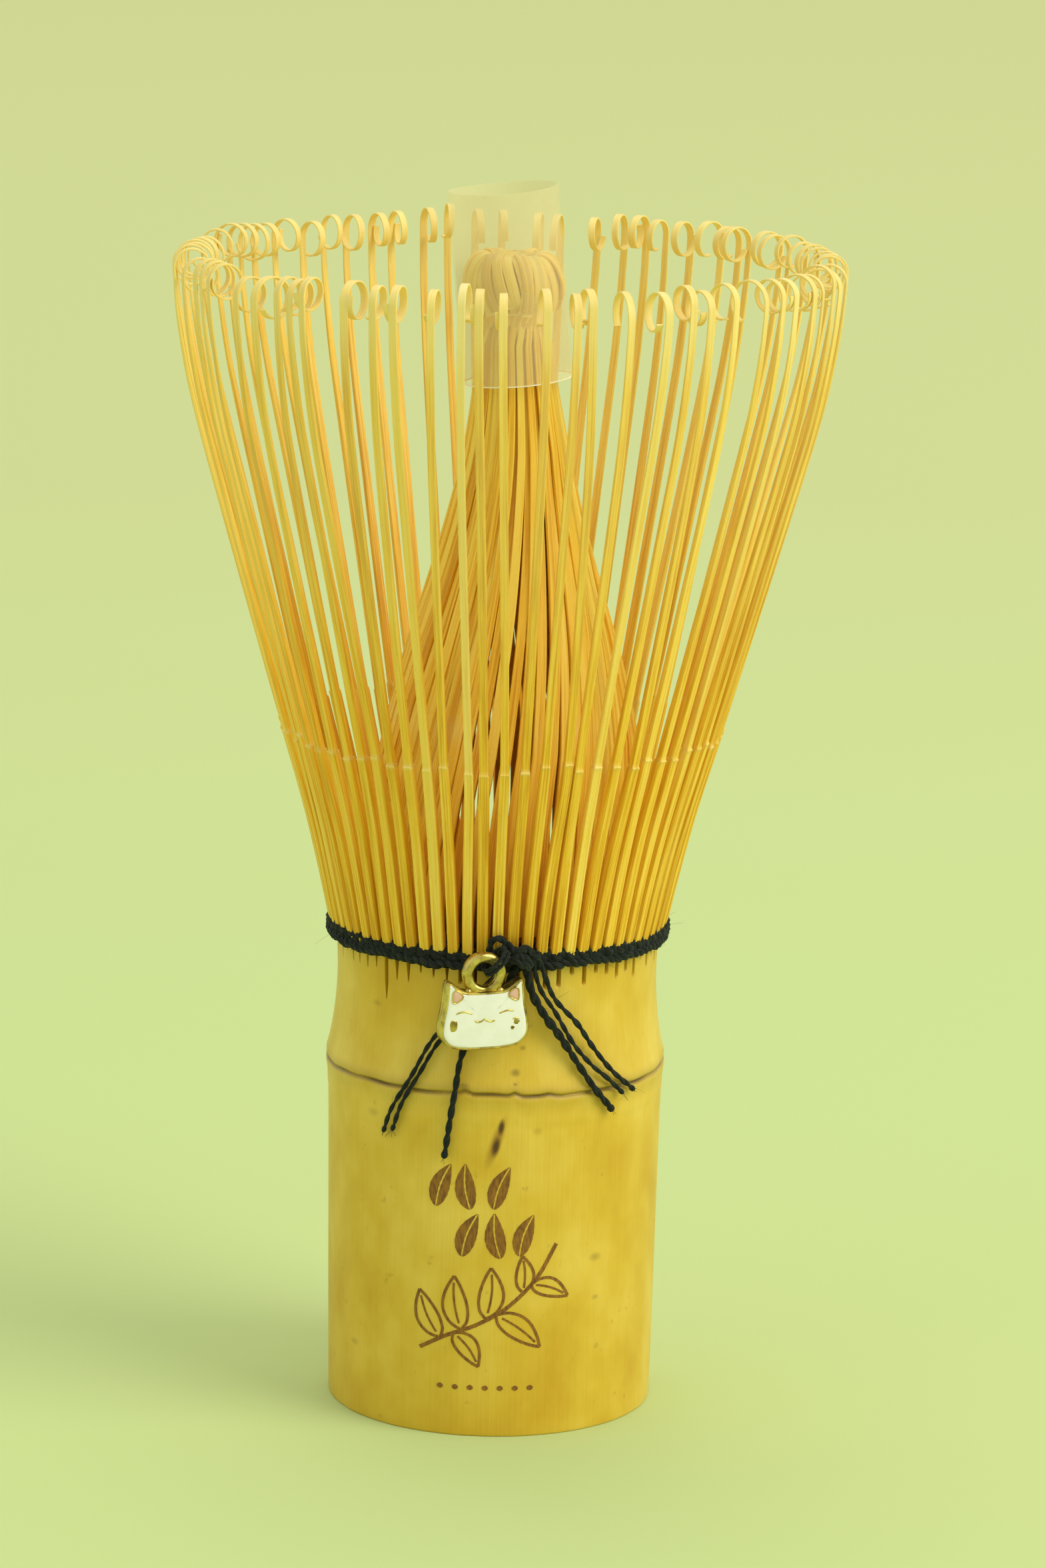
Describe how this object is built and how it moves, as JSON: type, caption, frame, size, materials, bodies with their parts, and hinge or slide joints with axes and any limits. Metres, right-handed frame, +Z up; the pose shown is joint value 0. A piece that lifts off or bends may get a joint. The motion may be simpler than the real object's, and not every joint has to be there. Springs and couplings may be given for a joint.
{
  "type": "bamboo tea whisk",
  "caption": "Bamboo tea whisk: hollow handle, ring of curled springy outer tines, gathered inner tines in a film sleeve, black lacing and a small cat charm.",
  "frame": {"origin": "centre of the handle's foot, on the surface the whisk stands on", "axes": "+Z up along the handle towards the tips, -Y towards the charm and the knot"},
  "size_m": [0.06, 0.06, 0.1116],
  "materials": {
    "bamboo_culm": "smooth bare bamboo skin, slight satin",
    "bamboo_tine": "shaved bamboo, long fibres, satin",
    "bamboo_inner_tine": "shaved inner bamboo, long fibres, matt",
    "black_thread": "twisted cotton thread, slightly fuzzy",
    "gold_plate": "polished light gold plating",
    "white_enamel": "glossy soft enamel",
    "pink_enamel": "glossy soft enamel",
    "clear_film": "milky clear packing film, 0.1 mm"
  },
  "bodies": {
    "handle": {"bamboo_handle": "bamboo_culm", "lacing_outer": "black_thread", "lacing_inner": "black_thread", "thread_knot": "black_thread", "thread_end_1": "black_thread", "thread_end_2": "black_thread", "thread_end_3": "black_thread", "thread_end_4": "black_thread", "thread_end_5": "black_thread", "thread_end_6": "black_thread"},
    "outer_tines_01": {"outer_tines_01": "bamboo_tine"},
    "outer_tines_02": {"outer_tines_02": "bamboo_tine"},
    "outer_tines_03": {"outer_tines_03": "bamboo_tine"},
    "outer_tines_04": {"outer_tines_04": "bamboo_tine"},
    "outer_tines_05": {"outer_tines_05": "bamboo_tine"},
    "outer_tines_06": {"outer_tines_06": "bamboo_tine"},
    "outer_tines_07": {"outer_tines_07": "bamboo_tine"},
    "outer_tines_08": {"outer_tines_08": "bamboo_tine"},
    "outer_tines_09": {"outer_tines_09": "bamboo_tine"},
    "outer_tines_10": {"outer_tines_10": "bamboo_tine"},
    "outer_tines_11": {"outer_tines_11": "bamboo_tine"},
    "outer_tines_12": {"outer_tines_12": "bamboo_tine"},
    "outer_tines_13": {"outer_tines_13": "bamboo_tine"},
    "outer_tines_14": {"outer_tines_14": "bamboo_tine"},
    "outer_tines_15": {"outer_tines_15": "bamboo_tine"},
    "outer_tines_16": {"outer_tines_16": "bamboo_tine"},
    "outer_tines_17": {"outer_tines_17": "bamboo_tine"},
    "outer_tines_18": {"outer_tines_18": "bamboo_tine"},
    "inner_bundle": {"inner_tines_1": "bamboo_inner_tine", "inner_tines_2": "bamboo_inner_tine", "inner_tines_3": "bamboo_inner_tine", "inner_tines_4": "bamboo_inner_tine", "inner_tines_5": "bamboo_inner_tine", "inner_tines_6": "bamboo_inner_tine"},
    "sleeve": {"film_sleeve": "clear_film"},
    "charm_link": {"charm_thread": "black_thread"},
    "charm": {"charm_base": "gold_plate", "charm_face": "white_enamel", "charm_ear_left": "pink_enamel", "charm_ear_right": "pink_enamel"}
  },
  "joints": [
    {"name": "outer_flex_01", "type": "hinge", "parent": "handle", "child": "outer_tines_01", "pos_m": [0.01497, 0.00197, 0.04535], "axis": [0.1305, -0.9914, 0], "range_deg": [-5, 4], "stiffness_Nm_per_rad": 0.03},
    {"name": "outer_flex_02", "type": "hinge", "parent": "handle", "child": "outer_tines_02", "pos_m": [0.01339, 0.00697, 0.04535], "axis": [0.4617, -0.887, 0], "range_deg": [-5, 4], "stiffness_Nm_per_rad": 0.03},
    {"name": "outer_flex_03", "type": "hinge", "parent": "handle", "child": "outer_tines_03", "pos_m": [0.0102, 0.01113, 0.04535], "axis": [0.7373, -0.6756, 0], "range_deg": [-5, 4], "stiffness_Nm_per_rad": 0.03},
    {"name": "outer_flex_04", "type": "hinge", "parent": "handle", "child": "outer_tines_04", "pos_m": [0.00578, 0.01395, 0.04535], "axis": [0.9239, -0.3827, 0], "range_deg": [-5, 4], "stiffness_Nm_per_rad": 0.03},
    {"name": "outer_flex_05", "type": "hinge", "parent": "handle", "child": "outer_tines_05", "pos_m": [0.00066, 0.01509, 0.04535], "axis": [0.999, -0.0436, 0], "range_deg": [-5, 4], "stiffness_Nm_per_rad": 0.03},
    {"name": "outer_flex_06", "type": "hinge", "parent": "handle", "child": "outer_tines_06", "pos_m": [-0.00454, 0.0144, 0.04535], "axis": [0.9537, 0.3007, 0], "range_deg": [-5, 4], "stiffness_Nm_per_rad": 0.03},
    {"name": "outer_flex_07", "type": "hinge", "parent": "handle", "child": "outer_tines_07", "pos_m": [-0.00919, 0.01198, 0.04535], "axis": [0.7934, 0.6088, 0], "range_deg": [-5, 4], "stiffness_Nm_per_rad": 0.03},
    {"name": "outer_flex_08", "type": "hinge", "parent": "handle", "child": "outer_tines_08", "pos_m": [-0.01274, 0.00811, 0.04535], "axis": [0.5373, 0.8434, 0], "range_deg": [-5, 4], "stiffness_Nm_per_rad": 0.03},
    {"name": "outer_flex_09", "type": "hinge", "parent": "handle", "child": "outer_tines_09", "pos_m": [-0.01474, 0.00327, 0.04535], "axis": [0.2164, 0.9763, 0], "range_deg": [-5, 4], "stiffness_Nm_per_rad": 0.03},
    {"name": "outer_flex_10", "type": "hinge", "parent": "handle", "child": "outer_tines_10", "pos_m": [-0.01497, -0.00197, 0.04535], "axis": [-0.1305, 0.9914, 0], "range_deg": [-5, 4], "stiffness_Nm_per_rad": 0.03},
    {"name": "outer_flex_11", "type": "hinge", "parent": "handle", "child": "outer_tines_11", "pos_m": [-0.01339, -0.00697, 0.04535], "axis": [-0.4617, 0.887, 0], "range_deg": [-5, 4], "stiffness_Nm_per_rad": 0.03},
    {"name": "outer_flex_12", "type": "hinge", "parent": "handle", "child": "outer_tines_12", "pos_m": [-0.0102, -0.01113, 0.04535], "axis": [-0.7373, 0.6756, 0], "range_deg": [-5, 4], "stiffness_Nm_per_rad": 0.03},
    {"name": "outer_flex_13", "type": "hinge", "parent": "handle", "child": "outer_tines_13", "pos_m": [-0.00578, -0.01395, 0.04535], "axis": [-0.9239, 0.3827, 0], "range_deg": [-5, 4], "stiffness_Nm_per_rad": 0.03},
    {"name": "outer_flex_14", "type": "hinge", "parent": "handle", "child": "outer_tines_14", "pos_m": [-0.00066, -0.01509, 0.04535], "axis": [-0.999, 0.0436, 0], "range_deg": [-5, 4], "stiffness_Nm_per_rad": 0.03},
    {"name": "outer_flex_15", "type": "hinge", "parent": "handle", "child": "outer_tines_15", "pos_m": [0.00454, -0.0144, 0.04535], "axis": [-0.9537, -0.3007, 0], "range_deg": [-5, 4], "stiffness_Nm_per_rad": 0.03},
    {"name": "outer_flex_16", "type": "hinge", "parent": "handle", "child": "outer_tines_16", "pos_m": [0.00919, -0.01198, 0.04535], "axis": [-0.7934, -0.6088, 0], "range_deg": [-5, 4], "stiffness_Nm_per_rad": 0.03},
    {"name": "outer_flex_17", "type": "hinge", "parent": "handle", "child": "outer_tines_17", "pos_m": [0.01274, -0.00811, 0.04535], "axis": [-0.5373, -0.8434, 0], "range_deg": [-5, 4], "stiffness_Nm_per_rad": 0.03},
    {"name": "outer_flex_18", "type": "hinge", "parent": "handle", "child": "outer_tines_18", "pos_m": [0.01474, -0.00327, 0.04535], "axis": [-0.2164, -0.9763, 0], "range_deg": [-5, 4], "stiffness_Nm_per_rad": 0.03},
    {"name": "inner_sway", "type": "hinge", "parent": "handle", "child": "inner_bundle", "pos_m": [0, 0, 0.0454], "axis": [0, 1, 0], "range_deg": [-3, 3], "stiffness_Nm_per_rad": 0.5},
    {"name": "sleeve_slide", "type": "slide", "parent": "inner_bundle", "child": "sleeve", "axis": [-0.0958, 0, 0.9954], "range_m": [0, 0.02]},
    {"name": "charm_tip", "type": "hinge", "parent": "handle", "child": "charm_link", "pos_m": [0.001, -0.0163, 0.0451], "axis": [-1, 0, 0], "range_deg": [0, 60]},
    {"name": "charm_swing", "type": "hinge", "parent": "charm_link", "child": "charm", "pos_m": [-0.0011, -0.018, 0.0438], "axis": [0.309, -0.9511, 0], "range_deg": [-45, 5]}
  ]
}
